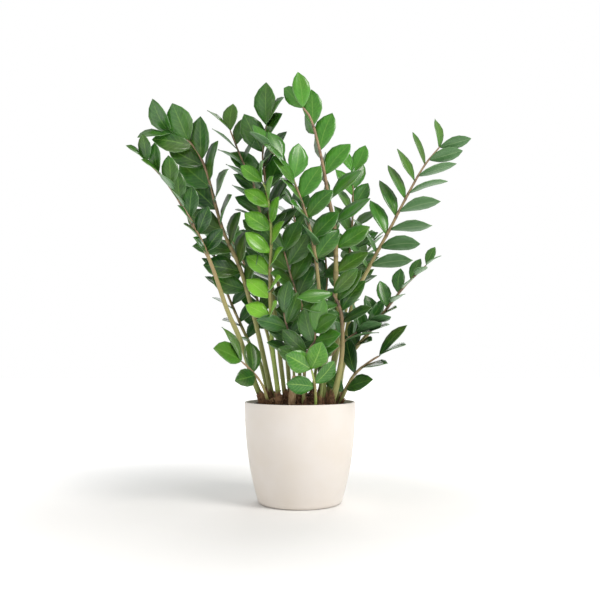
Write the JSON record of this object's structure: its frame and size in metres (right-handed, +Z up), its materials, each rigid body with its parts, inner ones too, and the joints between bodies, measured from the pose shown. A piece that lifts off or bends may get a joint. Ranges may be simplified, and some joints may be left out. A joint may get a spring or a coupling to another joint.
{
  "type": "potted zz plant",
  "caption": "Potted zz plant with arching fronds of glossy oval leaflets rising from soil in a tapered round cream planter.",
  "frame": {"origin": "centre of the planter's underside, on the surface it stands on", "axes": "+Z up along the planter's axis, -Y towards the front, +X to the right as seen from the front"},
  "size_m": [0.6366, 0.3721, 0.8017],
  "materials": {
    "planter": "satin",
    "grower_pot": "satin",
    "soil": "matte",
    "rhizome": "matte",
    "dry_husk": "matte",
    "leaf_young": "satin",
    "leaf_mature": "satin",
    "leaf_old": "satin"
  },
  "bodies": {
    "root": {"planter": "planter", "grower_pot": "grower_pot", "soil": "soil", "frond_far_left": "leaf_mature", "frond_left_broad": "leaf_mature", "frond_top": "leaf_mature", "frond_right_open": "leaf_mature", "frond_front_curved": "leaf_mature", "frond_bright": "leaf_young", "frond_centre_right": "leaf_mature", "frond_left_narrow": "leaf_mature", "frond_left_upright": "leaf_mature", "frond_right_upright": "leaf_mature", "frond_right_arching": "leaf_mature", "frond_right_low": "leaf_mature", "frond_short_right": "leaf_old", "frond_left_low": "leaf_mature", "frond_left_inner": "leaf_old", "frond_centre_low": "leaf_mature", "frond_centre_inner": "leaf_old", "frond_centre_small": "leaf_old", "frond_front_young": "leaf_young", "frond_inner_dark": "leaf_old", "frond_back_centre": "leaf_old", "frond_back_left": "leaf_mature", "frond_back_right": "leaf_mature", "cut_stalk": "dry_husk", "rhizome_front": "rhizome", "rhizome_right": "rhizome", "rhizome_back": "rhizome", "sheath_far_left": "dry_husk", "sheath_bright": "dry_husk", "sheath_left_narrow": "dry_husk", "sheath_front_curved": "dry_husk", "sheath_right_open": "dry_husk"}
  },
  "joints": []
}
